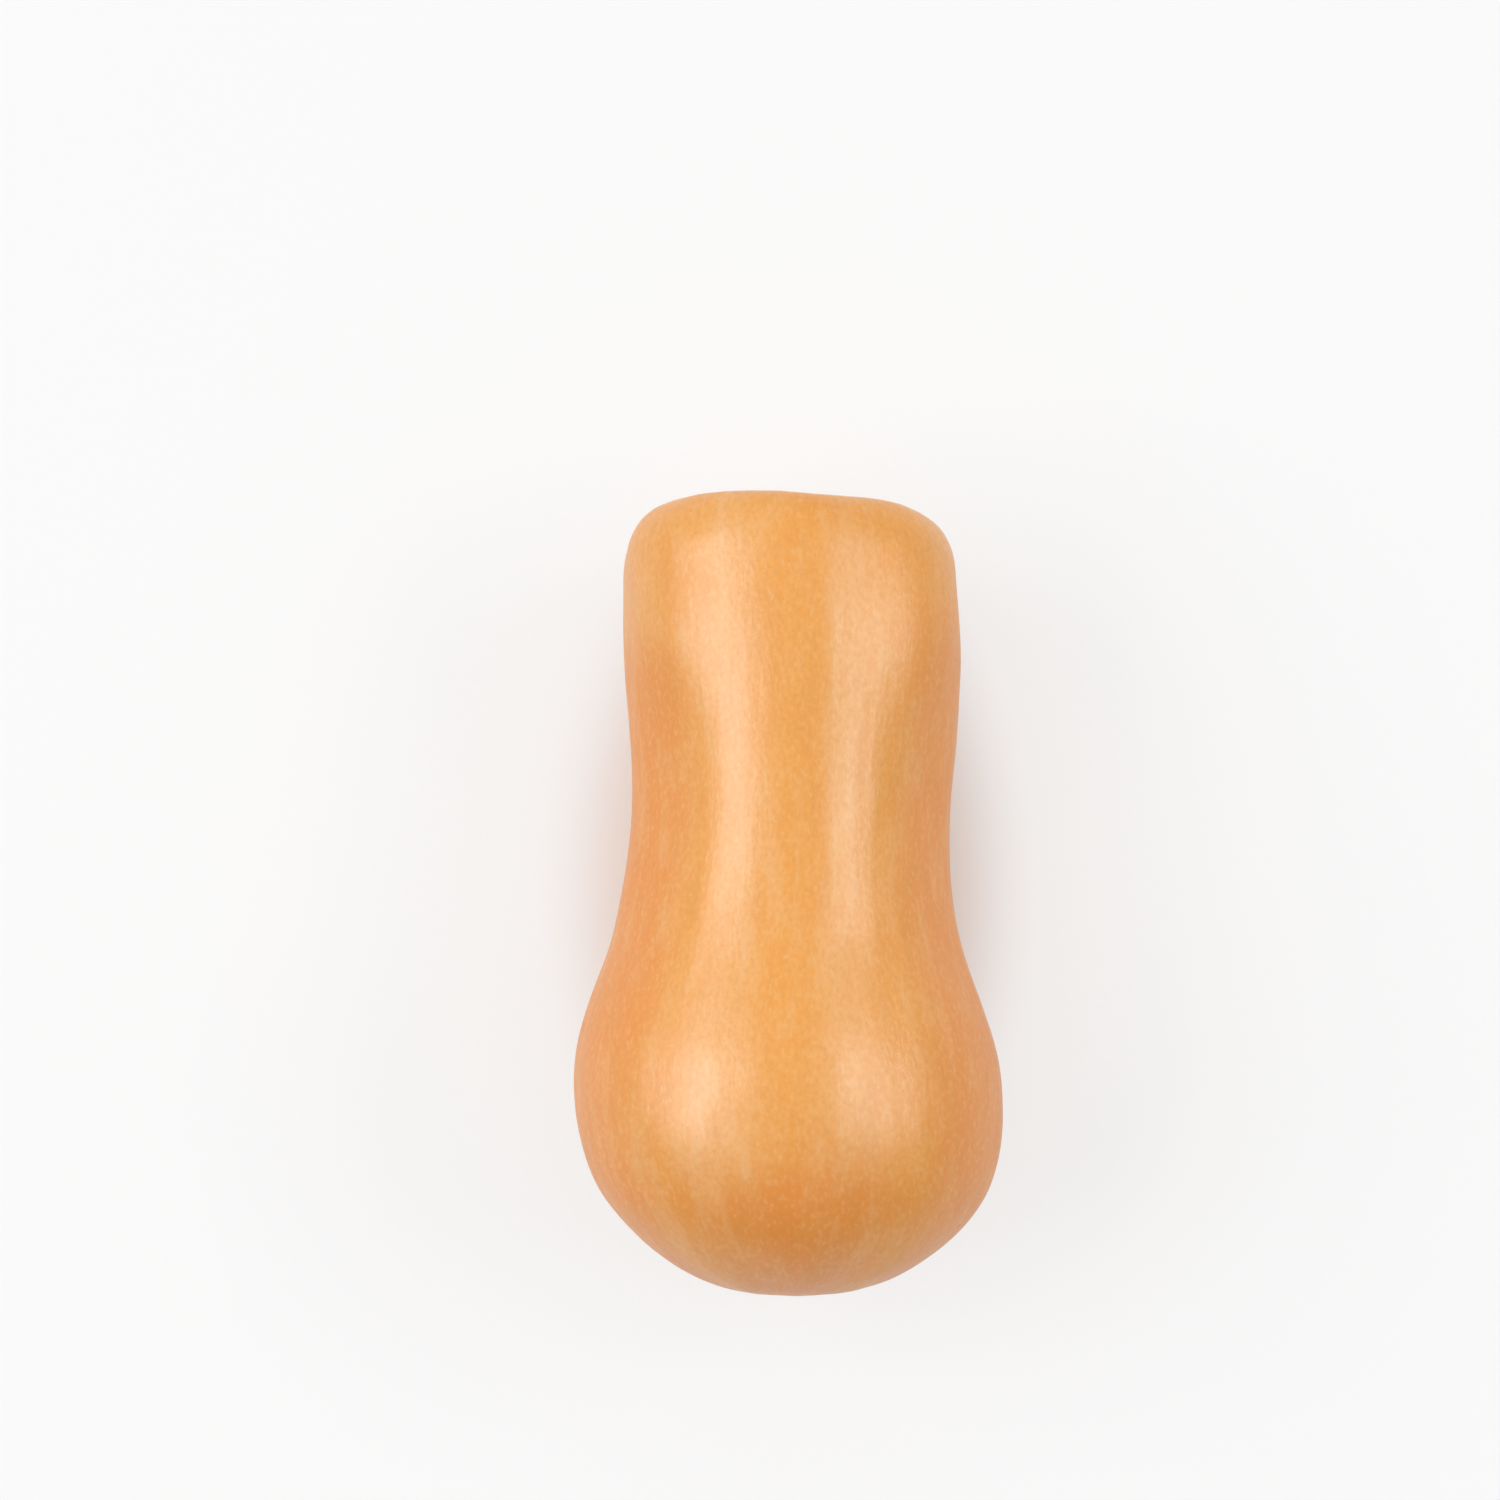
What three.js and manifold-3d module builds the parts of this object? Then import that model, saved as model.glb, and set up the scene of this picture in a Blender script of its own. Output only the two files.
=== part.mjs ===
// A butternut squash lying on its side: one fruit and its trimmed stem.
// Millimetres, +Z up. The fruit lies along Y, blossom end towards -Y and stem end towards +Y.
// The origin is on the surface that it rests on, under the middle of its bounding box.
import * as THREE from "three";
import { mergeVertices } from "three/addons/utils/BufferGeometryUtils.js";
import Module from "manifold-3d";

// Driving dimensions of the fruit, measured along it from the blossom end.
const LENGTH = 195; // to the top of the shoulders round the stem
const BULB_RADIUS = 53.6;
const BULB_AT = 49;
const WAIST_RADIUS = 40.2;
const WAIST_AT = 122;
const NECK_RADIUS = 42.8;
const NECK_AT = 161;

// The ends: a scar in a shallow dimple, and a cup with the stem in it.
const SCAR_RADIUS = 4.6;
const SCAR_DEPTH = 1.9;
const DIMPLE_RADIUS = 11;
const RIM_RADIUS = 16;
const CUP_RADIUS = 10;
const CUP_DEPTH = 6;

// How far the fruit is from straight and round.
const BEND = THREE.MathUtils.degToRad(16); // the whole turn of its axis, arched upwards
const SWAY = 1.2; // sideways wander of the axis
const SWAY_LENGTH = 150; // one full wander
const RIM_SLOPE = 0.021; // rise of the shoulders from the +X side to the -X side
const SECTION_FROM = 133; // where the neck's five-lobed section begins, along the fruit
const SECTION_TO = 167; // and where it is full
const NECK_LOBES = 0.034; // how far the neck's lobes stand out, as shares of the radius, as all of these
const NECK_CORNERS = 0.014; // half of how squarish the neck is
const WAIST_CORNERS = -0.02; // and the waist's corners are drawn in
const WAIST_SPAN = 26; // how far the waist's and the bulb's forms reach along the fruit
const RIDGES = 7; // broad, faint ridges round the fruit with flatter sides between them
const RIDGE_FROM = THREE.MathUtils.degToRad(88); // direction of the one along its top
const NECK_RIDGES = 0.01;
const WAIST_RIDGES = -0.008;
const BULB_RIDGES = 0.006;
const BULB_RIDGES_AT = 57;

// The grooves that run over the shoulders to the stem, by direction from +X towards +Z.
const GROOVES = [4, 83, 168, 236, 303].map(THREE.MathUtils.degToRad);
const GROOVE_DEPTH = 1.6;
const GROOVE_WIDTH = THREE.MathUtils.degToRad(17);
const LOBE_WIDTH = THREE.MathUtils.degToRad(30); // of the hollows that part the neck's lobes
const GROOVE_REACH = 20; // how far they fade down the neck

// The stem, measured from the floor of the cup.
const STEM_LENGTH = 9.5;
const STEM_RADIUS = 8.3;
const STEM_FOOT_RADIUS = 12.8;
const STEM_RIDGE = 0.11; // ridge height as a share of the radius
const STEM_CUT_SLOPE = 0.13; // rise of the cut across the stem
const STEM_GAP = 0.3; // clearance between the stem's foot and the fruit

const FLAT_DEPTH = 0.9; // how much of the underside the flat resting spots take off

const FRUIT_SIDES = 72;
const FRUIT_RINGS = 60;
const STEM_SIDES = 40;
const STEM_RINGS = 14;

const wasm = await Module();
wasm.setup();

const smoothCurve = (points) =>
  new THREE.CatmullRomCurve3(
    points.map(([radius, along]) => new THREE.Vector3(radius, along, 0)),
    false,
    "centripetal",
  );

// Half of the fruit's outline as [radius, distance along], from the scar to the floor of the cup.
function fruitOutline() {
  const rim = LENGTH;
  const floor = LENGTH - CUP_DEPTH;
  return smoothCurve([
    [0, SCAR_DEPTH],
    [SCAR_RADIUS * 0.7, SCAR_DEPTH],
    [SCAR_RADIUS, SCAR_DEPTH + 0.5],
    [SCAR_RADIUS * 1.55, SCAR_DEPTH - 0.5],
    [DIMPLE_RADIUS, 1],
    [BULB_RADIUS * 0.34, 2.7],
    [BULB_RADIUS * 0.5, 6.4],
    [BULB_RADIUS * 0.71, 14],
    [BULB_RADIUS * 0.885, 24.5],
    [BULB_RADIUS * 0.97, 35.5],
    [BULB_RADIUS, BULB_AT],
    [BULB_RADIUS * 0.983, BULB_AT + 12],
    [BULB_RADIUS * 0.91, BULB_AT + 25],
    [WAIST_RADIUS * 1.09, WAIST_AT - 34],
    [WAIST_RADIUS * 1.02, WAIST_AT - 17],
    [WAIST_RADIUS, WAIST_AT],
    [(WAIST_RADIUS + NECK_RADIUS) / 2, (WAIST_AT + NECK_AT) / 2],
    [NECK_RADIUS, NECK_AT],
    [NECK_RADIUS * 0.995, rim - 18],
    [NECK_RADIUS * 0.985, rim - 9.2],
    [NECK_RADIUS * 0.93, rim - 3.8],
    [NECK_RADIUS * 0.81, rim - 0.4],
    [RIM_RADIUS * 1.5, rim + 0.4],
    [RIM_RADIUS, rim - 0.1],
    [RIM_RADIUS * 0.82, rim - 1.4],
    [CUP_RADIUS * 1.12, floor + 1.9],
    [CUP_RADIUS * 0.8, floor + 0.5],
    [CUP_RADIUS * 0.4, floor],
    [0, floor],
  ]);
}

// Half of the stem's outline as [radius, height], measured from the floor of the cup.
function stemOutline() {
  return smoothCurve([
    [0, -2],
    [STEM_FOOT_RADIUS * 0.6, -2],
    [STEM_FOOT_RADIUS * 0.98, -0.4],
    [STEM_FOOT_RADIUS, 2.2],
    [STEM_FOOT_RADIUS * 0.8, 4.1],
    [STEM_RADIUS * 1.04, 6],
    [STEM_RADIUS, STEM_LENGTH - 2],
    [STEM_RADIUS * 1.02, STEM_LENGTH - 0.6],
    [STEM_RADIUS * 0.94, STEM_LENGTH],
    [STEM_RADIUS * 0.5, STEM_LENGTH - 0.4],
    [0, STEM_LENGTH - 0.7],
  ]);
}

// A closed surface of revolution about Y, each vertex then moved by shape(point, angle, radius).
function turned(outline, rings, sides, shape) {
  const profile = outline.getPoints(rings).map((p) => new THREE.Vector2(Math.max(p.x, 0), p.y));
  profile[0].x = 0;
  profile[rings].x = 0;
  const geometry = new THREE.LatheGeometry(profile, sides);
  const places = geometry.attributes.position;
  const point = new THREE.Vector3();
  for (let i = 0; i < places.count; i++) {
    point.fromBufferAttribute(places, i);
    shape(point, Math.atan2(point.z, point.x), Math.hypot(point.x, point.z));
    places.setXYZ(i, point.x, point.y, point.z);
  }
  return geometry;
}

// 1 from the rim of an end outwards, fading to 0 on the axis.
const atRim = (radius) => Math.min(radius / RIM_RADIUS, 1) ** 2;

// How deep in the grooves a direction is, from 0 on a lobe to 1 along a groove.
function grooved(angle, width = GROOVE_WIDTH) {
  let depth = 0;
  for (const groove of GROOVES) {
    const off = Math.atan2(Math.sin(angle - groove), Math.cos(angle - groove));
    depth += Math.exp(-((off / width) ** 2));
  }
  return depth;
}

// The grooves between the lobes of the shoulders, from the stem's cup to the top of the neck.
function addLobes(point, angle, radius) {
  const depth = GROOVE_DEPTH * grooved(angle);
  const onShoulder = Math.exp(-(((radius - RIM_RADIUS * 1.3) / RIM_RADIUS) ** 2)) * atRim(radius);
  const downNeck = Math.exp(-Math.max(LENGTH - point.y, 0) / GROOVE_REACH);
  point.y -= (depth * onShoulder + RIM_SLOPE * point.x) * downNeck;
  const swell = 1 - (0.4 * depth * downNeck) / NECK_RADIUS;
  point.x *= swell;
  point.z *= swell;
}

// Slow waves that take the fruit out of round, as growth does. They fade out at both ends.
function addUnevenness(point, angle, radius) {
  const along = point.y;
  const wave =
    0.55 * Math.cos(2 * angle + 0.7 + along / 90) +
    0.4 * Math.cos(3 * angle - along / 42) +
    0.22 * Math.cos(5 * angle + 1.3 + along / 60) +
    0.16 * Math.cos(10 * angle - 0.4);
  const scale = 1 + (wave / BULB_RADIUS) * atRim(radius);
  point.x *= scale;
  point.z *= scale;
}

// 1 at one place along the fruit, fading on both sides of it.
const around = (along, place) => Math.exp(-(((along - place) / WAIST_SPAN) ** 2));

// The neck is a little lobed and ridged in section, and the waist a little pointed.
function addSections(point, angle) {
  const towardsNeck = THREE.MathUtils.smoothstep(point.y, SECTION_FROM, SECTION_TO);
  const onNeck = towardsNeck * (1 - THREE.MathUtils.smoothstep(point.y, LENGTH - RIM_RADIUS, LENGTH));
  const onWaist = around(point.y, WAIST_AT) * (1 - towardsNeck);
  const onBulb = around(point.y, BULB_RIDGES_AT);
  const lobes = NECK_LOBES * onNeck * (0.92 - grooved(angle, LOBE_WIDTH));
  const corners = (NECK_CORNERS * onNeck + WAIST_CORNERS * onWaist) * (1 - Math.cos(4 * angle));
  const ridgeHeight = NECK_RIDGES * onNeck + WAIST_RIDGES * onWaist + BULB_RIDGES * onBulb;
  const scale = 1 + lobes + corners + ridgeHeight * Math.cos(RIDGES * (angle - RIDGE_FROM));
  point.x *= scale;
  point.z *= scale;
}

// Bends a straight form along the fruit's arched, slightly wandering axis.
function bend(point) {
  const bendRadius = LENGTH / BEND;
  const turn = (point.y - LENGTH / 2) / bendRadius;
  const out = bendRadius + point.z;
  point.x += SWAY * Math.cos((2 * Math.PI * point.y) / SWAY_LENGTH);
  point.y = out * Math.sin(turn);
  point.z = out * Math.cos(turn) - bendRadius;
}

function fruitGeometry() {
  return turned(fruitOutline(), FRUIT_RINGS, FRUIT_SIDES, (point, angle, radius) => {
    addSections(point, angle);
    addUnevenness(point, angle, radius);
    addLobes(point, angle, radius);
    bend(point);
  });
}

function stemGeometry() {
  return turned(stemOutline(), STEM_RINGS, STEM_SIDES, (point, angle, radius) => {
    const height = point.y;
    const towardsFoot = THREE.MathUtils.smoothstep(STEM_LENGTH - height, 2, STEM_LENGTH);
    const ridge = 2 * grooved(angle) - 0.9;
    const spread = 1 + STEM_RIDGE * (0.6 + 0.9 * towardsFoot) * ridge;
    point.x *= spread;
    point.z *= spread;
    const share = THREE.MathUtils.clamp(height / STEM_LENGTH, 0, 1);
    point.y = height + LENGTH - CUP_DEPTH + STEM_CUT_SLOPE * share * point.x;
    bend(point);
  });
}

// The turn about X that brings the lowest points of the bulb and of the neck level.
function restingTilt(geometry) {
  const places = geometry.attributes.position;
  const point = new THREE.Vector3();
  const across = new THREE.Vector3(1, 0, 0);
  let tilt = 0;
  for (let pass = 0; pass < 6; pass++) {
    const lowest = [new THREE.Vector3(0, 0, 1e6), new THREE.Vector3(0, 0, 1e6)];
    for (let i = 0; i < places.count; i++) {
      point.fromBufferAttribute(places, i);
      const end = point.y < WAIST_AT - LENGTH / 2 ? 0 : 1;
      point.applyAxisAngle(across, tilt);
      if (point.z < lowest[end].z) lowest[end].copy(point);
    }
    tilt -= Math.atan2(lowest[1].z - lowest[0].z, lowest[1].y - lowest[0].y);
  }
  return tilt;
}

// manifold-3d solids, for the cuts alone.
function solidOf(geometry) {
  const bare = new THREE.BufferGeometry().setAttribute("position", geometry.attributes.position);
  bare.setIndex(geometry.index);
  const merged = mergeVertices(bare, 1e-3);
  return new wasm.Manifold(
    new wasm.Mesh({
      numProp: 3,
      vertProperties: merged.attributes.position.array,
      triVerts: new Uint32Array(merged.index.array),
    }),
  );
}

function geometryOf(solid) {
  const mesh = solid.getMesh();
  const geometry = new THREE.BufferGeometry();
  geometry.setAttribute("position", new THREE.BufferAttribute(mesh.vertProperties, 3));
  geometry.setIndex(new THREE.BufferAttribute(mesh.triVerts, 1));
  geometry.computeVertexNormals();
  return geometry;
}

const fruit = fruitGeometry();
const stem = stemGeometry();
const tilt = restingTilt(fruit);
fruit.rotateX(tilt);
stem.rotateX(tilt);
fruit.computeBoundingBox();
const ground = -(fruit.boundingBox.min.z + FLAT_DEPTH);
fruit.translate(0, 0, ground);
stem.translate(0, 0, ground);

// The resting spots are cut flat at the ground, and the stem's foot is cut to the cup under it.
const belowGround = new THREE.BoxGeometry(4 * BULB_RADIUS, 2 * LENGTH, 4 * FLAT_DEPTH);
belowGround.translate(0, 0, -2 * FLAT_DEPTH);
const fruitSolid = solidOf(fruit).subtract(solidOf(belowGround));
const stemwards = new THREE.Vector3(0, Math.cos(BEND / 2), -Math.sin(BEND / 2));
stemwards.applyAxisAngle(new THREE.Vector3(1, 0, 0), tilt);
const shifted = stemwards.multiplyScalar(STEM_GAP).toArray();
const stemSolid = solidOf(stem).subtract(fruitSolid.translate(shifted));

const rind = new THREE.MeshStandardMaterial({ color: 0xe7a863, roughness: 0.45, metalness: 0 });
const wood = new THREE.MeshStandardMaterial({ color: 0xa08a5c, roughness: 0.85, metalness: 0 });

const squash = new THREE.Group();
for (const [name, solid, material] of [
  ["fruit", fruitSolid, rind],
  ["stem", stemSolid, wood],
]) {
  const mesh = new THREE.Mesh(geometryOf(solid), material);
  mesh.name = name;
  squash.add(mesh);
}
const middle = new THREE.Box3().setFromObject(squash).getCenter(new THREE.Vector3());
squash.position.set(-middle.x, -middle.y, 0);

export default squash;
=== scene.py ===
import math

import bpy
import numpy as np
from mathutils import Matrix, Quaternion, Vector, noise


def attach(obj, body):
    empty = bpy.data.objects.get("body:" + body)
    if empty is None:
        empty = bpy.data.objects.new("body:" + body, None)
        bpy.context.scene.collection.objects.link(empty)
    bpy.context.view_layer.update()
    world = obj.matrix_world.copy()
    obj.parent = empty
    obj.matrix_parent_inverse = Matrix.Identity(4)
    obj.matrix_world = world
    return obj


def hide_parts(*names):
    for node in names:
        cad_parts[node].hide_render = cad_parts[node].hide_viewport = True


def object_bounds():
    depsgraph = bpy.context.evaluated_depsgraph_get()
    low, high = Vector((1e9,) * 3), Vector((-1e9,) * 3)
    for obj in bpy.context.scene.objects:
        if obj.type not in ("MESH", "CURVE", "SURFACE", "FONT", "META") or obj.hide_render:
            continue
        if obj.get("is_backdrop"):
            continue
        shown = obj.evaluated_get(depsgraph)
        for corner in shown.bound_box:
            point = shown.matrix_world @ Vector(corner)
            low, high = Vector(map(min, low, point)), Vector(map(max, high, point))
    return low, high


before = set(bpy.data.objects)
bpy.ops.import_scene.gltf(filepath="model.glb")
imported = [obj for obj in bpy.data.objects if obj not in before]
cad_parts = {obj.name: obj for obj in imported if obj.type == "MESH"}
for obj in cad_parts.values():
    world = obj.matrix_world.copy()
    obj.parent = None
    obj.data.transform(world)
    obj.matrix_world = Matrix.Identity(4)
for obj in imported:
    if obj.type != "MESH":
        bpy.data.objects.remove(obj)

cadLow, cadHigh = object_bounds()
print("frame loaded, box", [round(v, 4) for v in cadHigh - cadLow])


# small helpers for picking, shaping and measuring a mesh

def deselectAll():
    if bpy.context.mode != "OBJECT":
        bpy.ops.object.mode_set(mode="OBJECT")
    bpy.ops.object.select_all(action="DESELECT")


def pick(piece):
    deselectAll()
    piece.select_set(True)
    bpy.context.view_layer.objects.active = piece


def points(piece):
    co = np.zeros(len(piece.data.vertices) * 3)
    piece.data.vertices.foreach_get("co", co)
    return co.reshape(-1, 3)


def setPoints(piece, co):
    piece.data.vertices.foreach_set("co", co.ravel())
    piece.data.update()


def normals(piece):
    no = np.zeros(len(piece.data.vertices) * 3)
    piece.data.vertices.foreach_get("normal", no)
    return no.reshape(-1, 3)


def selectPoints(piece, wanted):
    # leaves the piece in edit mode with just those points selected
    pick(piece)
    bpy.context.tool_settings.mesh_select_mode = (True, False, False)
    bpy.ops.object.mode_set(mode="EDIT")
    bpy.ops.mesh.select_all(action="DESELECT")
    bpy.ops.object.mode_set(mode="OBJECT")
    piece.data.vertices.foreach_set("select", np.asarray(wanted, bool))
    bpy.ops.object.mode_set(mode="EDIT")


def smoothWhere(piece, wanted, times):
    selectPoints(piece, wanted)
    bpy.ops.mesh.vertices_smooth(factor=0.5, repeat=times)
    bpy.ops.object.mode_set(mode="OBJECT")


def applyModifier(piece, kind, **settings):
    pick(piece)
    modifier = piece.modifiers.new(kind.title(), kind)
    for name, value in settings.items():
        setattr(modifier, name, value)
    bpy.ops.object.modifier_apply(modifier=modifier.name)


def subdivide(piece, levels):
    applyModifier(piece, "SUBSURF", levels=levels, render_levels=levels)


def dent(piece, name, size, height):
    texture = bpy.data.textures.new(name, "CLOUDS")
    texture.noise_scale = size
    texture.noise_depth = 1
    applyModifier(piece, "DISPLACE", texture=texture, texture_coords="LOCAL",
                  strength=2 * height, mid_level=0.5)


def storePointData(piece, name, values):
    attribute = piece.data.attributes.new(name, "FLOAT_VECTOR", "POINT")
    attribute.data.foreach_set("vector", values.astype(np.float32).ravel())


def wiggle(co, size, seed):
    # smooth noise from -1 to 1 with features of about that size, and each seed has its own
    off = Vector((seed * 7.1, seed * 3.3, seed * 5.7))
    return np.array([noise.noise(Vector(p) / size + off) for p in co])


def between(values, low, high):
    # 0 below low, 1 above high, smooth from one to the other
    share = np.clip((values - low) / (high - low), 0, 1)
    return share * share * (3 - 2 * share)


def bumps(turn, directions, width):
    # 1 along each of those directions round an axis, falling away on both sides
    total = np.zeros(len(turn))
    for direction in directions:
        off = np.angle(np.exp(1j * (turn - math.radians(direction))))
        total += np.exp(-(off / math.radians(width)) ** 2)
    return total


# helpers for materials made of nodes

def newMaterial(name):
    material = bpy.data.materials.new(name)
    material.use_nodes = True
    return material, material.node_tree


def add(tree, kind, inputs=None, **settings):
    node = tree.nodes.new(kind)
    for name, value in settings.items():
        setattr(node, name, value)
    for name, value in (inputs or {}).items():
        if isinstance(value, bpy.types.NodeSocket):
            tree.links.new(value, node.inputs[name])
        else:
            node.inputs[name].default_value = value
    return node


def attributeOf(tree, name):
    return add(tree, "ShaderNodeAttribute", attribute_name=name).outputs["Vector"]


def noiseOn(tree, vector, squeeze, size, detail, roughness):
    # size is the width of a feature in metres, and a squeeze under 1 draws it out along Z
    placed = add(tree, "ShaderNodeMapping", {"Vector": vector, "Scale": (1, 1, squeeze)})
    return add(tree, "ShaderNodeTexNoise", {
        "Vector": placed.outputs["Vector"], "Scale": 1 / size, "Detail": detail,
        "Roughness": roughness}).outputs["Fac"]


def remap(tree, value, low, high, toLow=0.0, toHigh=1.0):
    # toLow where the value is under low, toHigh where it is over high, smooth from one to the other
    return add(tree, "ShaderNodeMapRange", {
        "Value": value, "From Min": low, "From Max": high, "To Min": toLow, "To Max": toHigh},
        interpolation_type="SMOOTHSTEP").outputs["Result"]


def maths(tree, operation, a, b=0.0):
    return add(tree, "ShaderNodeMath", {0: a, 1: b}, operation=operation).outputs[0]


def blend(tree, amount, a, b):
    mixer = add(tree, "ShaderNodeMix", data_type="RGBA")
    for index, value in ((0, amount), (6, a), (7, b)):
        if isinstance(value, bpy.types.NodeSocket):
            tree.links.new(value, mixer.inputs[index])
        else:
            mixer.inputs[index].default_value = value if index == 0 else (*value, 1)
    return mixer.outputs[2]


def bumpChain(tree, layers):
    # layers are (height socket, distance in metres), the broadest first
    normal = None
    for height, distance in layers:
        inputs = {"Height": height, "Strength": 1.0, "Distance": distance}
        if normal:
            inputs["Normal"] = normal
        normal = add(tree, "ShaderNodeBump", inputs).outputs["Normal"]
    return normal


# the camera looks straight down on the fruit, which lies on a white floor under two soft boxes
studio = {
    "cameraAt": (-0.0096, 0.0362, 0.94),
    "lens": 85,
    "sensor": 36,
    "clip": (0.05, 50),
    "floorSize": 12.0,
    "floorTone": 0.9,
    "floorRoughness": 0.9,
    "floorSpecular": 0.1,
    "floorGlow": 0.97,        # how white the overexposed floor looks
    "glowShare": 0.65,        # and how much of its shading that hides
    "glowReach": (0.085, 0.135),
    "glowFrom": (0.45, 0.80),  # where it sets in round the fruit, as shares of that reach
    "glowFull": (3, 16),      # and where it grows full, towards the horizon
    "skyBase": 0.28,          # light from the horizon
    "skySlope": (0, 0.30, 0.55),  # and how it grows towards +Y and upwards
    "backdrop": 0.97,         # how bright the sky looks past the floor
    "boxes": [  # name, place, size along and across, turn, watts, and watts for the gloss alone
        ("leftBox", (-2.02, 0.22, 1.88), (2.30, 1.75), -14, 31.5, 66),
        ("rightBox", (2.00, 0.33, 1.91), (1.90, 1.00), 5, 17.5, 29.5),
    ],
    "aimAt": (0.0, 0.0, 0.05),
}

cameraData = bpy.data.cameras.new("photoCamera")
cameraData.lens = studio["lens"]
cameraData.sensor_width = studio["sensor"]
cameraData.clip_start, cameraData.clip_end = studio["clip"]
camera = bpy.data.objects.new("photoCamera", cameraData)
camera.location = studio["cameraAt"]
bpy.context.scene.collection.objects.link(camera)
bpy.context.scene.camera = camera
bpy.context.scene.view_settings.view_transform = "Standard"

deselectAll()
bpy.ops.mesh.primitive_plane_add(size=studio["floorSize"], location=(0, 0, 0))
floor = bpy.context.object
floor.name = "studioFloor"
floor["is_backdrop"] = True


def floorMaterial():
    # the camera sees an overexposed floor, white except close under the fruit
    material, tree = newMaterial("whiteFloor")
    shader = tree.nodes["Principled BSDF"]
    shader.inputs["Base Color"].default_value = (*[studio["floorTone"]] * 3, 1)
    shader.inputs["Roughness"].default_value = studio["floorRoughness"]
    shader.inputs["Specular IOR Level"].default_value = studio["floorSpecular"]
    place = add(tree, "ShaderNodeTexCoord").outputs["Object"]
    reachX, reachY = studio["glowReach"]
    scaled = add(tree, "ShaderNodeMapping", {"Vector": place, "Scale": (1 / reachX, 1 / reachY, 0)})
    length = add(tree, "ShaderNodeVectorMath", {0: scaled.outputs[0]}, operation="LENGTH")
    away = length.outputs["Value"]
    near = remap(tree, away, *studio["glowFrom"], 0.0, studio["glowShare"])
    share = maths(tree, "MAXIMUM", near, remap(tree, away, *studio["glowFull"]))
    seen = add(tree, "ShaderNodeLightPath").outputs["Is Camera Ray"]
    glow = add(tree, "ShaderNodeEmission", {"Color": (1, 1, 1, 1), "Strength": studio["floorGlow"]})
    mixed = add(tree, "ShaderNodeMixShader", {
        0: maths(tree, "MULTIPLY", share, seen), 1: shader.outputs[0], 2: glow.outputs[0]})
    tree.links.new(mixed.outputs[0], tree.nodes["Material Output"].inputs["Surface"])
    return material


floor.data.materials.append(floorMaterial())


def studioWorld():
    world = bpy.data.worlds.new("studioWorld")
    world.use_nodes = True
    tree = world.node_tree
    sky = tree.nodes["Background"]
    sky.inputs["Color"].default_value = (1, 1, 1, 1)
    way = add(tree, "ShaderNodeTexCoord").outputs["Generated"]
    rise = add(tree, "ShaderNodeVectorMath", {0: way, 1: studio["skySlope"]}, operation="DOT_PRODUCT")
    light = maths(tree, "ADD", rise.outputs["Value"], studio["skyBase"])
    tree.links.new(light, sky.inputs["Strength"])
    white = {"Color": (1, 1, 1, 1), "Strength": studio["backdrop"]}
    backdrop = add(tree, "ShaderNodeBackground", white)
    seen = add(tree, "ShaderNodeLightPath").outputs["Is Camera Ray"]
    mixed = add(tree, "ShaderNodeMixShader", {0: seen, 1: sky.outputs[0], 2: backdrop.outputs[0]})
    tree.links.new(mixed.outputs[0], tree.nodes["World Output"].inputs["Surface"])
    return world


bpy.context.scene.world = studioWorld()


def softBox(name, place, size, turn, watts):
    light = bpy.data.lights.new(name, "AREA")
    light.shape = "RECTANGLE"
    light.size, light.size_y = size
    light.energy = watts
    lamp = bpy.data.objects.new(name, light)
    lamp.location = place
    aim = (Vector(studio["aimAt"]) - Vector(place)).to_track_quat("-Z", "Y")
    lamp.rotation_euler = (aim @ Quaternion((0, 0, 1), math.radians(turn))).to_euler()
    bpy.context.scene.collection.objects.link(lamp)
    return lamp


for name, place, size, turn, watts, glossWatts in studio["boxes"]:
    softBox(name, place, size, turn, watts)
    softBox(name + "Gloss", place, size, turn, glossWatts).visible_diffuse = False
print("camera, floor and lights placed")


# the line that the fruit grew along, from the blossom end to the stem
axis = {
    "height": 0.0511,      # over the ground, above the origin
    "slope": -0.0737,      # its fall towards the stem
    "arch": -0.7124,       # its upward arch
    "aside": 0.0002,       # how far it lies towards +X
    "sway": 0.0012,        # and how far it sways to both sides of that
    "swayFrom": -0.025,
    "swayLength": 0.150,
    "stripeRadius": 0.045,
    "thinnest": 0.0005,    # nearest to the line that the lines of growth are drawn
    "gather": 0.3,         # how they thin out towards both ends: 0 not at all, 1 wholly
}


def axisAt(y):
    sway = np.cos(2 * np.pi * (y - axis["swayFrom"]) / axis["swayLength"])
    x = axis["aside"] - axis["sway"] * sway
    z = axis["height"] + axis["slope"] * y + axis["arch"] * y * y
    return x, z


def axisTilt(y):
    return np.arctan(axis["slope"] + 2 * axis["arch"] * y)


def aroundAxis(co):
    # angle round the axis from +X towards +Z, distance from it, and distance along it
    x0, z0 = axisAt(co[:, 1])
    tilt = axisTilt(co[:, 1])
    dx, dz = co[:, 0] - x0, co[:, 2] - z0
    return np.arctan2(dz, dx), np.hypot(dx, dz * np.cos(tilt)), co[:, 1] + dz * np.sin(tilt)


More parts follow.
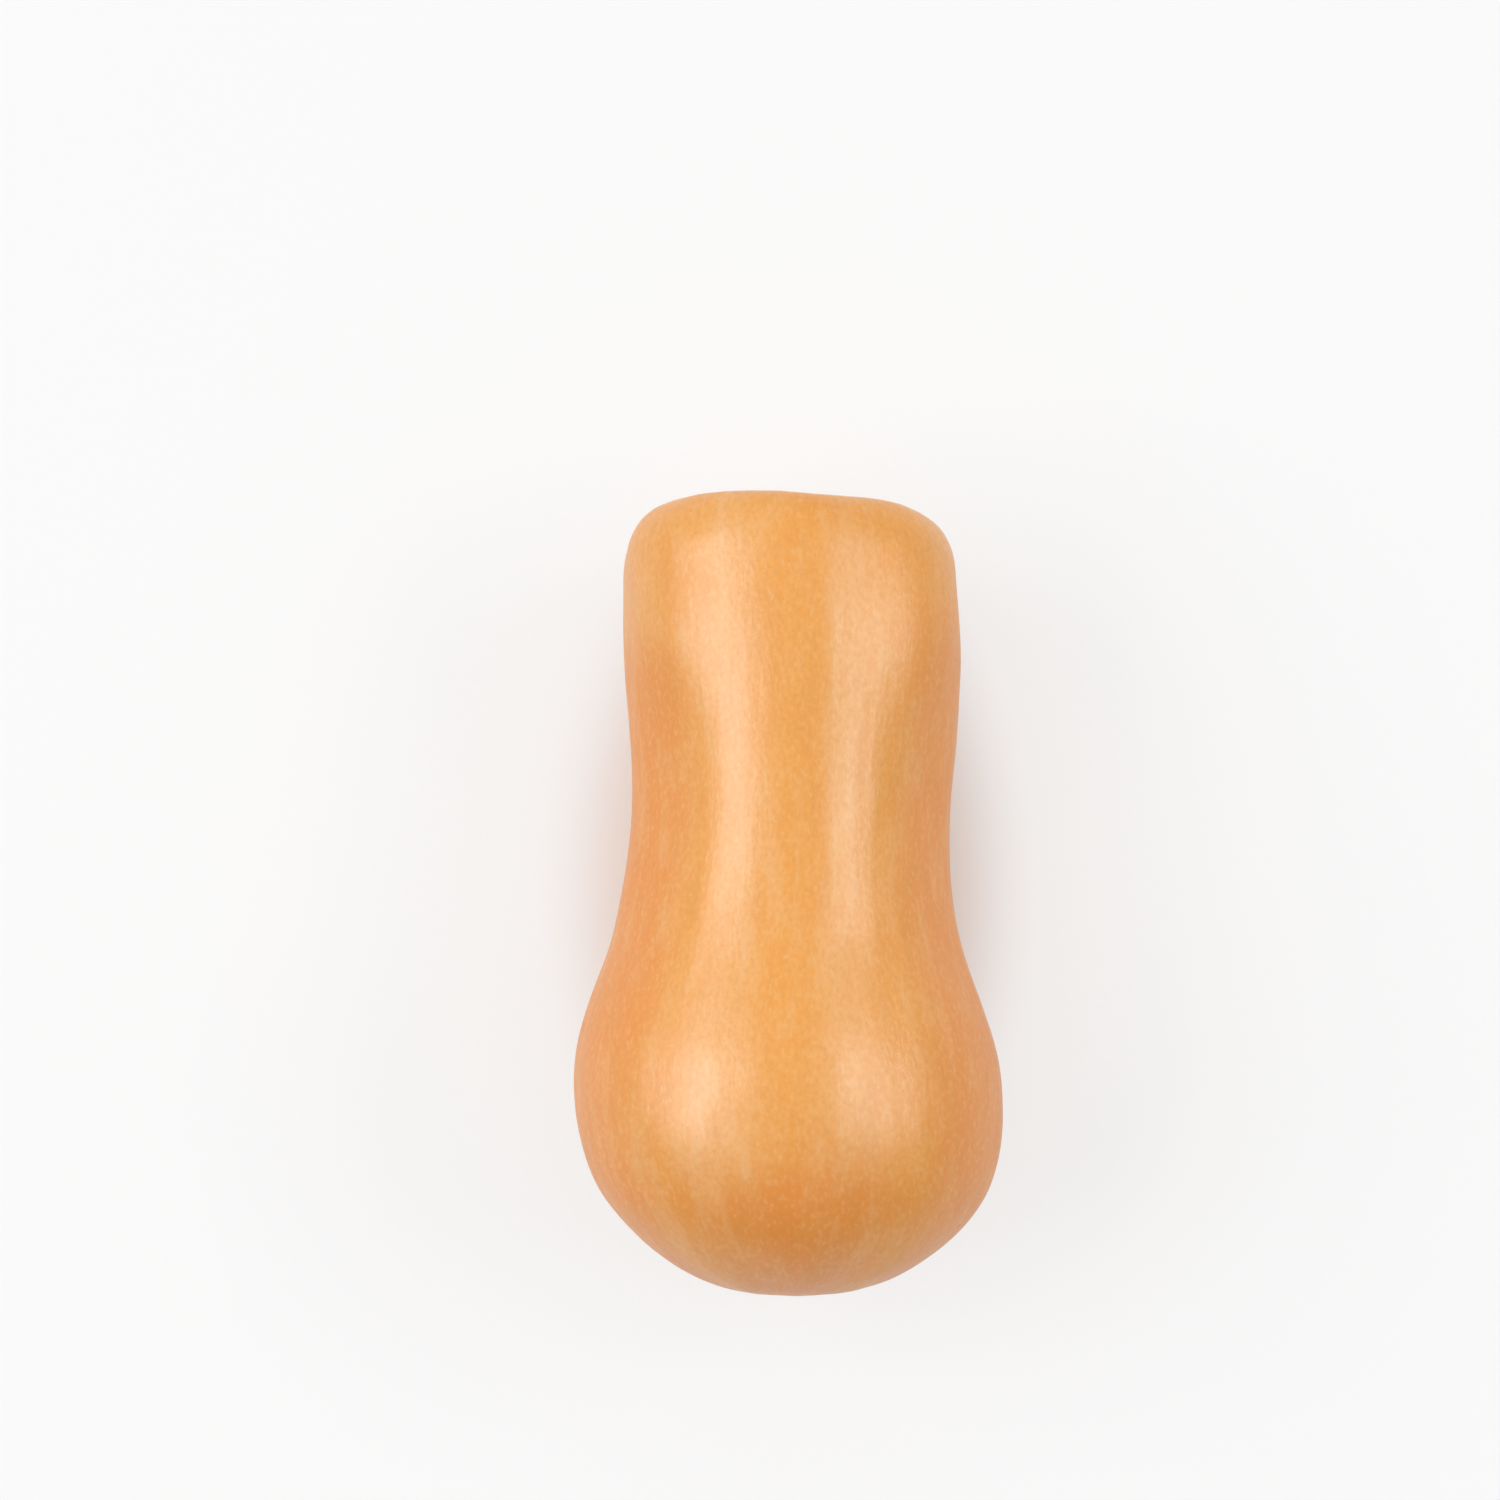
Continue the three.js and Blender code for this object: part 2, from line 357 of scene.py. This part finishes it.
fruit = {
    "mergeWithin": 0.00002,
    "quadsUnder": (50, 60),  # degrees, the most that two triangles may bend and slant to join
    "levels": 2,
    "flatTop": 0.0022,     # height of the ring of points that is smoothed round the resting flats
    "restSmoothing": 6,
    "dents": [("broadDents", 0.045, 0.00040), ("smallDents", 0.016, 0.00018)],
    "fuller": [            # direction in degrees, place along, height, width in degrees and along
        (150, 0.078, 0.0015, 22, 0.024),
        (32, 0.078, 0.0012, 22, 0.024),
        (90, -0.058, 0.0007, 32, 0.030),
    ],
    "flatEnd": (0.0015, 0.0145, 0.020),  # depth, width and height of the flattening by the scar
    "flatCentre": 0.006,   # how far over the axis its middle lies
    "ripples": [           # width, height and seed of the lengthwise ripples
        (0.0050, 0.00010, 6),
        (0.0024, 0.00004, 7),
    ],
    "rippleStretch": 0.16,
    "rippleFrom": (0.006, 0.030),  # distance from the axis where they set in
    "ribs": 10,
    "ribFrom": 87,         # degrees, the direction of the first rib
    "ribHeight": 0.00022,
    "ribReach": 0.03,      # distance from the axis where the ribs are full
    "ribDrift": (0.45, 0.05, 1),   # share of their height that comes and goes, its length and seed
    "grooves": (4, 83, 168, 236, 303),  # degrees from +X towards +Z, between the lobes round the stem
    "creaseWidth": 7,      # degrees, of the sharper crease along the floor of each groove
    "creaseDepth": 0.00080,
    "creaseFrom": (0.010, 0.014),  # where the creases set in, from the middle of the stem's cup
    "creaseTo": (0.022, 0.036),    # and where they run out
    "scarSize": 0.0068,
    "scarRagged": [        # width, size and seed of the bays in its edge
        (0.0046, 0.0015, 12),
        (0.0016, 0.0006, 13),
    ],
    "scarRelief": [        # width, height and seed of its crumbs
        (0.0010, 0.00030, 4),
        (0.0030, 0.00040, 5),
    ],
    "scarEdge": (0.80, 1.0),       # where the crumbs run out, as shares of its size
    "scarRim": 0.00035,
    "rimPlace": (0.78, 0.16),      # where the rim lies and its width, as shares of the scar's size
    "rimUneven": (0.0035, 14),     # width and seed of its unevenness
    "scarNub": 0.0007,     # the dried remnant of the flower in the middle of the scar
    "nubRadius": 0.0011,
    "stripeFrom": 90,      # degrees, the direction of the yellowest stripe
    "stripeDrift": (0.8, 0.04, 2),  # how far the stripes stray, its length and seed
    "stripeFall": 0.7,     # under 1 for stripes wider than the gaps between them
    "stripeLeast": 0.45,   # their share at the sides and the bulb's end
    "stripeRise": (-0.07, 0.01),   # where along the top they grow to their full share
    "topWidth": 30,        # degrees, of the stripe along the top
    "shadedFlanksFrom": (0.45, 0.9),      # cosines of the directions where the flanks' painted shade, a tan, sets in and is full
    "shoulderLightFrom": (0.045, 0.072),     # where the flanks lose it as painted light on the shoulders, towards the stem from the origin
    "shoulderLightShare": 0.8,
    "endShadeFrom": (0.050, 0.072),     # where the bulb's end grows tanner as painted shade, towards the scar
    "endShadeSides": 0.3,       # the share of that at its sides
    "groundSide": -86,     # degrees, the direction of the paler patch that it lay on
    "groundWidth": 38,     # degrees
    "groundAlong": (-0.035, 0.045),  # the patch's middle and its half length
}


def mergedCopy(nodeName, pieceName):
    piece = bpy.data.objects.new(pieceName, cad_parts[nodeName].data.copy())
    bpy.context.scene.collection.objects.link(piece)
    piece.data.name = pieceName
    piece.data.materials.clear()
    pick(piece)
    bpy.ops.object.mode_set(mode="EDIT")
    bpy.ops.mesh.select_all(action="SELECT")
    bpy.ops.mesh.customdata_custom_splitnormals_clear()
    bpy.ops.mesh.remove_doubles(threshold=fruit["mergeWithin"])
    bend, slant = (math.radians(most) for most in fruit["quadsUnder"])
    bpy.ops.mesh.tris_convert_to_quads(face_threshold=bend, shape_threshold=slant)
    bpy.ops.object.mode_set(mode="OBJECT")
    return piece


# the fruit, smoothed round its flats, then dented, rippled and flattened a little at its end
squash = mergedCopy("fruit", "squashFruit")
smoothWhere(squash, points(squash)[:, 2] < fruit["flatTop"], fruit["restSmoothing"])
subdivide(squash, fruit["levels"])
smoothWhere(squash, points(squash)[:, 2] < fruit["flatTop"], fruit["restSmoothing"])
for name, size, height in fruit["dents"]:
    dent(squash, name, size, height)

co = points(squash)
turn, reach, along = aroundAxis(co)
ribs = np.cos(fruit["ribs"] * (turn - math.radians(fruit["ribFrom"])))
drift, length, seed = fruit["ribDrift"]
ribs = ribs * np.clip(reach / fruit["ribReach"], 0, 1) ** 2
ribs = ribs * (1 - drift + drift * wiggle(co, length, seed))
around = axis["stripeRadius"]
spread = around * (np.clip(reach, axis["thinnest"], None) / around) ** axis["gather"]
grain = np.stack([spread * np.cos(turn), spread * np.sin(turn), fruit["rippleStretch"] * along], 1)
rise = fruit["ribHeight"] * ribs
for direction, place, height, degrees, length in fruit["fuller"]:
    rise += height * bumps(turn, [direction], degrees) * np.exp(-((along - place) / length) ** 2)
depth, wide, tall = fruit["flatEnd"]
aside, over = reach * np.cos(turn), reach * np.sin(turn) - fruit["flatCentre"]
rise -= depth * np.exp(-(aside / wide) ** 2 - (over / tall) ** 2) * (along < 0)
for width, height, seed in fruit["ripples"]:
    rise += height * between(reach, *fruit["rippleFrom"]) * wiggle(grain, width, seed)
co += normals(squash) * rise[:, None]
co[:, 2] = np.maximum(co[:, 2], 0)
setPoints(squash, co)

# both poles, where the axis leaves the fruit, then the scar at one and the creases round the other
turn, reach, along = aroundAxis(co)
scarPole = co[np.argmin(np.where(co[:, 1] < 0, reach, np.inf))].copy()
stemPole = co[np.argmin(np.where(co[:, 1] > 0, reach, np.inf))].copy()
print("blossom scar at", scarPole.round(4), "stem cup at", stemPole.round(4))
fromScar = np.linalg.norm(co - scarPole, axis=1)
fromStem = np.linalg.norm(co - stemPole, axis=1)

bays = sum(depth * wiggle(co, width, seed) for width, depth, seed in fruit["scarRagged"])
ragged = fromScar + bays
share = ragged / fruit["scarSize"]
crust = 1 - between(share, *fruit["scarEdge"])
rise = crust * sum(height * wiggle(co, width, seed) for width, height, seed in fruit["scarRelief"])
place, width = fruit["rimPlace"]
rim = fruit["scarRim"] * np.exp(-((share - place) / width) ** 2)
rise += rim * (1 + wiggle(co, *fruit["rimUneven"]))
rise += fruit["scarNub"] * np.exp(-(fromScar / fruit["nubRadius"]) ** 2)
creased = between(fromStem, *fruit["creaseFrom"]) * (1 - between(fromStem, *fruit["creaseTo"]))
rise -= fruit["creaseDepth"] * creased * bumps(turn, fruit["grooves"], fruit["creaseWidth"])
co += normals(squash) * rise[:, None]
setPoints(squash, co)

# what the rind's colour follows: lines of growth, straight rays from both ends,
# then stripes, distance from the scar and the stem, then painted shade, ground patch and top
storePointData(squash, "growth", np.stack([spread * np.cos(turn), spread * np.sin(turn), along], 1))
storePointData(squash, "rays", np.stack([around * np.cos(turn), around * np.sin(turn), along], 1))
far, length, seed = fruit["stripeDrift"]
drift = far * wiggle(co, length, seed)
stripe = 0.5 + 0.5 * np.cos(fruit["ribs"] * (turn - math.radians(fruit["stripeFrom"])) + drift)
stripe = stripe ** fruit["stripeFall"]
onTop = bumps(turn, [fruit["stripeFrom"]], fruit["topWidth"])
least = fruit["stripeLeast"]
stripe = stripe * (least + (1 - least) * onTop * between(along, *fruit["stripeRise"]))
storePointData(squash, "marks", np.stack([stripe, ragged, fromStem], 1))
# painted shade: the flanks grow tanner towards the sides
paintedShade = between(np.abs(np.cos(turn)), *fruit["shadedFlanksFrom"])
# painted light: the shoulders lose most of that painted shade
paintedShade *= 1 - fruit["shoulderLightShare"] * between(along, *fruit["shoulderLightFrom"])
# painted shade: the bulb's end grows tanner, most along its top
sides = fruit["endShadeSides"]
paintedShade = np.maximum(paintedShade, between(-along, *fruit["endShadeFrom"]) * (sides + (1 - sides) * onTop))
place, length = fruit["groundAlong"]
ground = bumps(turn, [fruit["groundSide"]], fruit["groundWidth"])
ground = ground * np.exp(-((along - place) / length) ** 2)
storePointData(squash, "paintedShadeGroundTop", np.stack([paintedShade, ground, onTop], 1))
pick(squash)
bpy.ops.object.shade_smooth()
print("fruit modelled,", len(squash.data.polygons), "faces")

rind = {
    "amber": (0.83, 0.345, 0.060),
    # the tan serves real blotches and the painted shade of the flanks and the bulb's end
    "tan": (0.80, 0.270, 0.044),
    "peach": (0.825, 0.405, 0.130),
    "ochre": (0.71, 0.290, 0.055),
    "pale": (0.83, 0.505, 0.225),
    "straw": (0.72, 0.460, 0.170),   # the ground patch
    "leafy": (0.50, 0.380, 0.110),   # the greenish lines by the stem
    "fleck": (0.58, 0.230, 0.060),
    "cork": (0.085, 0.040, 0.024),
    "corkLight": (0.50, 0.300, 0.160),
    "corkGrey": (0.40, 0.285, 0.205),
    # its patterns: squeeze, width of a feature, detail and roughness
    "broad": (0.12, 0.014, 3, 0.5),
    "fine": (0.10, 0.0032, 4, 0.6),
    "blotch": (0.6, 0.022, 4, 0.55),
    "cloudy": (0.35, 0.0065, 4, 0.6),
    "mottle": (0.7, 0.0011, 2, 0.6),
    "flecks": (0.30, 0.0013, 2, 0.5),
    "rays": (0.10, 0.0032, 3, 0.5),
    "crumbs": (1, 0.0010, 3, 0.6),
    "lumps": (1, 0.0028, 2, 0.5),
    # how much of each tone goes in, and the blur or drift that a pattern gives its edge
    "peachShare": 0.62,
    "stripeBroad": 0.9,
    "stripeRange": (0.40, 1.25, 1.0, 0.0),
    "tanShare": 0.85,
    # how much of the painted shade goes into the tan
    "shadeWeight": 0.75,
    "tanBlotch": 0.9,
    "tanRange": (0.42, 1.20),
    "clouding": [          # pattern, its range, its share at both ends of that, and tone
        ("cloudy", 0.46, 0.74, 0.0, 0.30, "pale"),
        ("cloudy", 0.30, 0.48, 0.30, 0.0, "ochre"),
        ("fine", 0.50, 0.80, 0.0, 0.20, "pale"),
        ("mottle", 0.46, 0.72, 0.0, 0.36, "ochre"),
        ("mottle", 0.28, 0.50, 0.30, 0.0, "pale"),
        ("flecks", 0.68, 0.82, 0.0, 0.26, "fleck"),
    ],
    "groundShare": 0.65,
    "groundBlotch": 0.35,
    "groundRange": (0.40, 1.0),
    "stemRange": (0.012, 0.034, 1.0, 0.0),   # distance from the stem, and the paleness there
    "stemPale": 0.45,
    "leafyShare": 0.32,
    "leafyRange": (0.46, 0.60),
    "scarRange": (0.008, 0.021, 1.0, 0.0),   # distance from the scar, and the paleness there
    "scarStraw": 0.60,
    "scarFine": 0.006,
    # the cork of the scar: distances from its middle, or a pattern's range, and what they give
    "lumpShare": 0.6,
    "greyRange": (0.40, 0.60),
    "darkRing": (0.0034, 0.0052, 0.0, 0.17),
    "darkNub": (0.0008, 0.0020, 0.2, 0.0),
    "darkRange": (0.86, 1.00),
    "corkRagged": 0.0030,
    "corkEdge": (0.0084, 0.0094, 1.0, 0.0),
    "specksNear": (0.0070, 0.0150, 0.10, -0.15),
    "specksRange": (1.04, 1.10, 0.0, 0.85),
    "specksEnd": (0.014, 0.018, 1.0, 0.0),
    # its gloss and the height of its bumps
    "roughness": 0.31,
    "roughMottle": 0.10,
    "roughCork": 0.4,
    "specular": 0.5,
    "bumpFine": 0.00008,
    "bumpMottle": 0.00006,
    "bumpFlecks": 0.00004,
    "bumpCork": 0.00045,
}


def rindMaterial():
    material, tree = newMaterial("squashRind")
    marks = add(tree, "ShaderNodeSeparateXYZ", {"Vector": attributeOf(tree, "marks")}).outputs
    paintedShadeGroundTop = add(tree, "ShaderNodeSeparateXYZ", {"Vector": attributeOf(tree, "paintedShadeGroundTop")}).outputs
    stripe, scarAway, stemAway = marks["X"], marks["Y"], marks["Z"]
    paintedShade, ground = paintedShadeGroundTop["X"], paintedShadeGroundTop["Y"]

    def scaled(value, amount):
        return maths(tree, "MULTIPLY", value, amount)

    def plus(a, b):
        return maths(tree, "ADD", a, b)

    def ramp(value, name):
        return remap(tree, value, *rind[name])

    def drawn(vector, *names):
        return {name: noiseOn(tree, vector, *rind[name]) for name in names}

    growing = attributeOf(tree, "growth")
    place = add(tree, "ShaderNodeTexCoord").outputs["Object"]
    pattern = drawn(growing, "broad", "fine", "cloudy", "mottle", "flecks")
    pattern.update(drawn(place, "blotch", "crumbs", "lumps"))
    pattern.update(drawn(attributeOf(tree, "rays"), "rays"))

    # amber with peach stripes, tanner as painted shade on the flanks and the bulb's end and in real
    # blotches, then clouded, mottled and flecked
    stripes = ramp(plus(stripe, scaled(pattern["broad"], rind["stripeBroad"])), "stripeRange")
    colour = blend(tree, scaled(stripes, rind["peachShare"]), rind["amber"], rind["peach"])
    # the painted shade of the flanks and the bulb's end, with real blotches, turns the rind tan
    shadeAndBlotch = plus(scaled(paintedShade, rind["shadeWeight"]), scaled(pattern["blotch"], rind["tanBlotch"]))
    colour = blend(tree, scaled(ramp(shadeAndBlotch, "tanRange"), rind["tanShare"]), colour, rind["tan"])
    for name, low, high, atLow, atHigh, tone in rind["clouding"]:
        share = remap(tree, pattern[name], low, high, atLow, atHigh)
        colour = blend(tree, share, colour, rind[tone])

    # the ground patch, and the paler rind with greenish lines by the stem and straw by the scar
    lay = ramp(plus(ground, scaled(pattern["blotch"], rind["groundBlotch"])), "groundRange")
    colour = blend(tree, scaled(lay, rind["groundShare"]), colour, rind["straw"])
    nearStem = ramp(stemAway, "stemRange")
    colour = blend(tree, scaled(nearStem, rind["stemPale"]), colour, rind["pale"])
    leafy = maths(tree, "MULTIPLY", nearStem, ramp(pattern["rays"], "leafyRange"))
    colour = blend(tree, scaled(leafy, rind["leafyShare"]), colour, rind["leafy"])
    nearScar = ramp(plus(scarAway, scaled(pattern["fine"], rind["scarFine"])), "scarRange")
    colour = blend(tree, scaled(nearScar, rind["scarStraw"]), colour, rind["straw"])

    # the cork of the scar, darkest in a ring and on the nub, with specks round its ragged edge
    crumbs, lumps = pattern["crumbs"], pattern["lumps"]
    clusters = plus(crumbs, scaled(lumps, rind["lumpShare"]))
    corkTone = blend(tree, ramp(lumps, "greyRange"), rind["corkLight"], rind["corkGrey"])
    darker = plus(ramp(scarAway, "darkRing"), ramp(scarAway, "darkNub"))
    corkTone = blend(tree, ramp(plus(clusters, darker), "darkRange"), corkTone, rind["cork"])
    corkEdge = ramp(plus(scarAway, scaled(clusters, rind["corkRagged"])), "corkEdge")
    specks = ramp(plus(clusters, ramp(scarAway, "specksNear")), "specksRange")
    specks = maths(tree, "MULTIPLY", specks, ramp(scarAway, "specksEnd"))
    corkEdge = maths(tree, "MAXIMUM", corkEdge, specks)
    colour = blend(tree, corkEdge, colour, corkTone)

    shader = tree.nodes["Principled BSDF"]
    tree.links.new(colour, shader.inputs["Base Color"])
    duller = plus(scaled(pattern["mottle"], rind["roughMottle"]), scaled(corkEdge, rind["roughCork"]))
    tree.links.new(plus(duller, rind["roughness"]), shader.inputs["Roughness"])
    shader.inputs["Specular IOR Level"].default_value = rind["specular"]
    relief = bumpChain(tree, [
        (pattern["fine"], rind["bumpFine"]),
        (pattern["mottle"], rind["bumpMottle"]),
        (pattern["flecks"], rind["bumpFlecks"]),
        (maths(tree, "MULTIPLY", crumbs, corkEdge), rind["bumpCork"]),
    ])
    tree.links.new(relief, shader.inputs["Normal"])
    return material


squash.data.materials.append(rindMaterial())
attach(squash, "root")
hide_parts("fruit")
print("rind painted")

stemShape = {
    "sides": 100,
    "orderFrom": (0.031, 0.017, -0.023),  # a place from which no two of its points are equally far
    "rootDepth": 0.0012,   # how far it starts below the floor of the cup
    "outline": [           # radius and height over the floor of the cup, up the outside
        (0.0104, 0.0), (0.0122, 0.0014), (0.0126, 0.0030), (0.0113, 0.0043),
        (0.0096, 0.0055), (0.0086, 0.0069), (0.0083, 0.0084), (0.0085, 0.0093),
    ],
    "cutOutline": [        # and over the cut, to the middle
        (0.0082, 0.0096), (0.0075, 0.0094), (0.0060, 0.0091),
        (0.0042, 0.0090), (0.0024, 0.0088), (0.0010, 0.0083),
    ],
    "cutSlope": 0.13,
    "ridges": fruit["grooves"],
    "ridgeWidth": 17,      # degrees
    "ridgeShare": 0.11,    # of the radius
    "ridgeRange": (-0.9, 1.1),  # how far it goes in between the ridges, and out along them
    "ridgeTop": 0.6,       # the share of that at the cut
    "ridgeFlare": 0.9,     # and how much that grows towards the foot
    "flareTo": 0.002,      # depth under the cut where it starts to grow
    "levels": 2,
    "fibres": [(0.0009, 0.00016, 8), (0.0028, 0.00022, 9)],  # width, height and seed
    "fibreStretch": 0.15,
    "fibreRadius": 0.009,
    "cutFrom": (0.0080, 0.0088),   # height where the bark ends and the cut begins
    "cutRim": (0.0070, 0.0080),    # radius where the cut ends
    "cutRelief": 0.00016,
    "cutGrain": [(0.0007, 10), (0.0022, 11)],  # width and seed of the cut's unevenness
    "cracks": [            # direction and length
        (14, 0.0058), (92, 0.0040), (151, 0.0064), (222, 0.0047), (287, 0.0060),
    ],
    "crackWidth": 0.00016,
    "crackDepth": 0.00045,
    "crackWander": (0.16, 0.0015),  # how far a crack wanders, in radians, and the length of a wave
    "crackTaper": (0.7, 0.2),       # how it narrows towards its end, and the least share left
    "crackFrom": (0.0003, 0.0012),  # radius where it opens
    "crackFade": 0.8,               # share of its length where it starts to close
}


def putInOrder(piece):
    # extruding leaves edges and faces in a chance order, so all that is selected gets a fixed one
    bpy.context.scene.cursor.location = stemShape["orderFrom"]
    bpy.ops.mesh.sort_elements(type="CURSOR_DISTANCE", elements={"VERT", "EDGE", "FACE"})
    bpy.context.scene.cursor.location = (0, 0, 0)
    bpy.ops.object.mode_set(mode="OBJECT")
    ends = np.zeros(2 * len(piece.data.edges), np.int32)
    piece.data.edges.foreach_get("vertices", ends)
    piece.data.edges.foreach_set("vertices", np.sort(ends.reshape(-1, 2), 1).ravel())


def turnedStem():
    # a ring of points drawn up the outline and in over the cut, then closed at both ends
    outline = stemShape["outline"] + stemShape["cutOutline"]
    radius, height = outline[0]
    start = -stemShape["rootDepth"]
    deselectAll()
    bpy.ops.mesh.primitive_circle_add(vertices=stemShape["sides"], radius=radius, location=(0, 0, 0))
    piece = bpy.context.object
    piece.name = piece.data.name = "squashStem"
    bpy.ops.object.mode_set(mode="EDIT")
    bpy.ops.mesh.select_all(action="SELECT")
    bpy.ops.transform.translate(value=(0, 0, start))
    bpy.ops.mesh.extrude_region_move(TRANSFORM_OT_translate={"value": (0, 0, height - start)})
    for nextRadius, nextHeight in outline[1:]:
        bpy.ops.mesh.extrude_region_move(TRANSFORM_OT_translate={"value": (0, 0, nextHeight - height)})
        share = nextRadius / radius
        bpy.ops.transform.resize(value=(share, share, 1), center_override=(0, 0, nextHeight))
        radius, height = nextRadius, nextHeight
    bpy.ops.mesh.extrude_region_move(TRANSFORM_OT_translate={"value": (0, 0, 0)})
    bpy.ops.mesh.merge(type="CENTER")
    bpy.ops.object.mode_set(mode="OBJECT")
    selectPoints(piece, points(piece)[:, 2] < 0.5 * start)
    bpy.ops.mesh.extrude_region_move(TRANSFORM_OT_translate={"value": (0, 0, 0)})
    bpy.ops.mesh.merge(type="CENTER")
    bpy.ops.mesh.select_all(action="SELECT")
    bpy.ops.mesh.normals_make_consistent(inside=False)
    putInOrder(piece)
    return piece


def shapeStem(piece):
    # the five ridges flare towards the foot and the cut slopes a little
    co = points(piece)
    turn = np.arctan2(-co[:, 1], co[:, 0])
    height = co[:, 2].copy()
    top = stemShape["cutOutline"][0][1]
    towardsFoot = between(top - height, stemShape["flareTo"], top)
    inward, outward = stemShape["ridgeRange"]
    ridge = (outward - inward) * bumps(turn, stemShape["ridges"], stemShape["ridgeWidth"]) + inward
    flare = stemShape["ridgeTop"] + stemShape["ridgeFlare"] * towardsFoot
    spread = 1 + stemShape["ridgeShare"] * flare * ridge
    co[:, 0] *= spread
    co[:, 1] *= spread
    co[:, 2] += stemShape["cutSlope"] * np.clip(height / top, 0, 1) * co[:, 0]
    setPoints(piece, co)


# the stem, with fibres round it and a cut face that is uneven and cracked
stem = turnedStem()
shapeStem(stem)
subdivide(stem, stemShape["levels"])
co = points(stem)
turn = np.arctan2(-co[:, 1], co[:, 0])
level = co[:, 2] - stemShape["cutSlope"] * co[:, 0]
inside = np.hypot(co[:, 0], co[:, 1])
onCut = between(level, *stemShape["cutFrom"]) * (1 - between(inside, *stemShape["cutRim"]))
around = stemShape["fibreRadius"]
ring = np.stack([around * np.cos(turn), around * np.sin(turn), stemShape["fibreStretch"] * level], 1)
fibres = sum(height * wiggle(ring, width, seed) for width, height, seed in stemShape["fibres"])
rise = fibres * (1 - onCut)
grain = sum(wiggle(co, width, seed) for width, seed in stemShape["cutGrain"])
rise += stemShape["cutRelief"] * onCut * grain
crack = np.zeros(len(co))
wander, wanderLength = stemShape["crackWander"]
taper, least = stemShape["crackTaper"]
for direction, length in stemShape["cracks"]:
    off = turn - math.radians(direction) + wander * wiggle(co, wanderLength, direction)
    aside = inside * np.where(np.cos(off) > 0, np.abs(np.sin(off)), 1)
    width = stemShape["crackWidth"] * (1 - taper * inside / length).clip(least, 1)
    opened = between(inside, *stemShape["crackFrom"])
    closed = between(inside, stemShape["crackFade"] * length, length)
    crack += np.exp(-(aside / width) ** 2) * opened * (1 - closed)
crack = np.minimum(crack, 1) * onCut
rise -= stemShape["crackDepth"] * crack
co += normals(stem) * rise[:, None]
setPoints(stem, co)
storePointData(stem, "grain", np.stack([co[:, 0], co[:, 1], level], 1))
storePointData(stem, "round", ring)
storePointData(stem, "parts", np.stack([onCut, inside, crack], 1))
stem.location = stemPole
stem.rotation_euler = (axisTilt(stemPole[1]) - math.pi / 2, 0, 0)
pick(stem)
bpy.ops.object.transform_apply(location=True, rotation=True, scale=True)
bpy.ops.object.shade_smooth()
print("stem modelled,", len(stem.data.polygons), "faces")

wood = {
    "straw": (0.60, 0.405, 0.190),
    "brown": (0.240, 0.135, 0.062),
    "green": (0.340, 0.280, 0.125),
    "cut": (0.68, 0.500, 0.285),
    "cutBrown": (0.380, 0.235, 0.115),
    "pith": (0.450, 0.310, 0.165),
    # its patterns: squeeze, width of a feature, detail and roughness
    "fibre": (1, 0.0008, 3, 0.6),
    "bands": (1, 0.0032, 2, 0.5),
    "patch": (1, 0.0045, 3, 0.5),
    "speck": (1, 0.0006, 3, 0.6),
    # a pattern's range or a radius on the cut, and the share of a tone there
    "greenBands": (0.36, 0.64),
    "brownFibres": (0.46, 0.68, 0.0, 0.75),
    "brownPatches": (0.50, 0.72, 0.0, 0.6),
    "cutPatches": (0.40, 0.66, 0.0, 0.7),
    "ringInner": (0.0046, 0.0056),
    "ringOuter": (0.0064, 0.0074, 1.0, 0.0),
    "ringPatches": (0.38, 0.60, 0.25, 0.75),
    "ringFibres": (0.42, 0.62),
    "pithEdge": (0.0014, 0.0034, 0.6, 0.0),
    "cutSpecks": (0.52, 0.70, 0.0, 0.45),
    "inCracks": (0.15, 0.75, 0.0, 0.9),
    "roughness": 0.72,
    "specular": 0.3,
    "bumpFibre": 0.00018,
    "bumpSpeck": 0.00012,
}


def stemMaterial():
    material, tree = newMaterial("dryStem")
    grain = attributeOf(tree, "grain")
    around = attributeOf(tree, "round")
    parts = add(tree, "ShaderNodeSeparateXYZ", {"Vector": attributeOf(tree, "parts")}).outputs
    onCut, inside, crack = parts["X"], parts["Y"], parts["Z"]
    fibre = noiseOn(tree, around, *wood["fibre"])
    bands = noiseOn(tree, around, *wood["bands"])
    patch = noiseOn(tree, grain, *wood["patch"])
    speck = noiseOn(tree, grain, *wood["speck"])

    def ramp(value, name):
        return remap(tree, value, *wood[name])

    bark = blend(tree, ramp(bands, "greenBands"), wood["straw"], wood["green"])
    bark = blend(tree, ramp(fibre, "brownFibres"), bark, wood["brown"])
    bark = blend(tree, ramp(patch, "brownPatches"), bark, wood["brown"])
    cut = blend(tree, ramp(patch, "cutPatches"), wood["cut"], wood["cutBrown"])
    ring = maths(tree, "MULTIPLY", ramp(inside, "ringInner"), ramp(inside, "ringOuter"))
    ring = maths(tree, "MULTIPLY", ring, ramp(patch, "ringPatches"))
    ring = maths(tree, "MULTIPLY", ring, ramp(fibre, "ringFibres"))
    cut = blend(tree, ring, cut, wood["cutBrown"])
    cut = blend(tree, ramp(inside, "pithEdge"), cut, wood["pith"])
    cut = blend(tree, ramp(speck, "cutSpecks"), cut, wood["brown"])
    cut = blend(tree, ramp(crack, "inCracks"), cut, wood["brown"])
    colour = blend(tree, onCut, bark, cut)

    shader = tree.nodes["Principled BSDF"]
    tree.links.new(colour, shader.inputs["Base Color"])
    shader.inputs["Roughness"].default_value = wood["roughness"]
    shader.inputs["Specular IOR Level"].default_value = wood["specular"]
    relief = bumpChain(tree, [(fibre, wood["bumpFibre"]), (speck, wood["bumpSpeck"])])
    tree.links.new(relief, shader.inputs["Normal"])
    return material


stem.data.materials.append(stemMaterial())
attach(stem, "root")
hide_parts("stem")
print("stem painted")

size = {"cad": [list(cadLow), list(cadHigh)], "visual": [list(corner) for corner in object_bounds()]}
print("sizes", size)
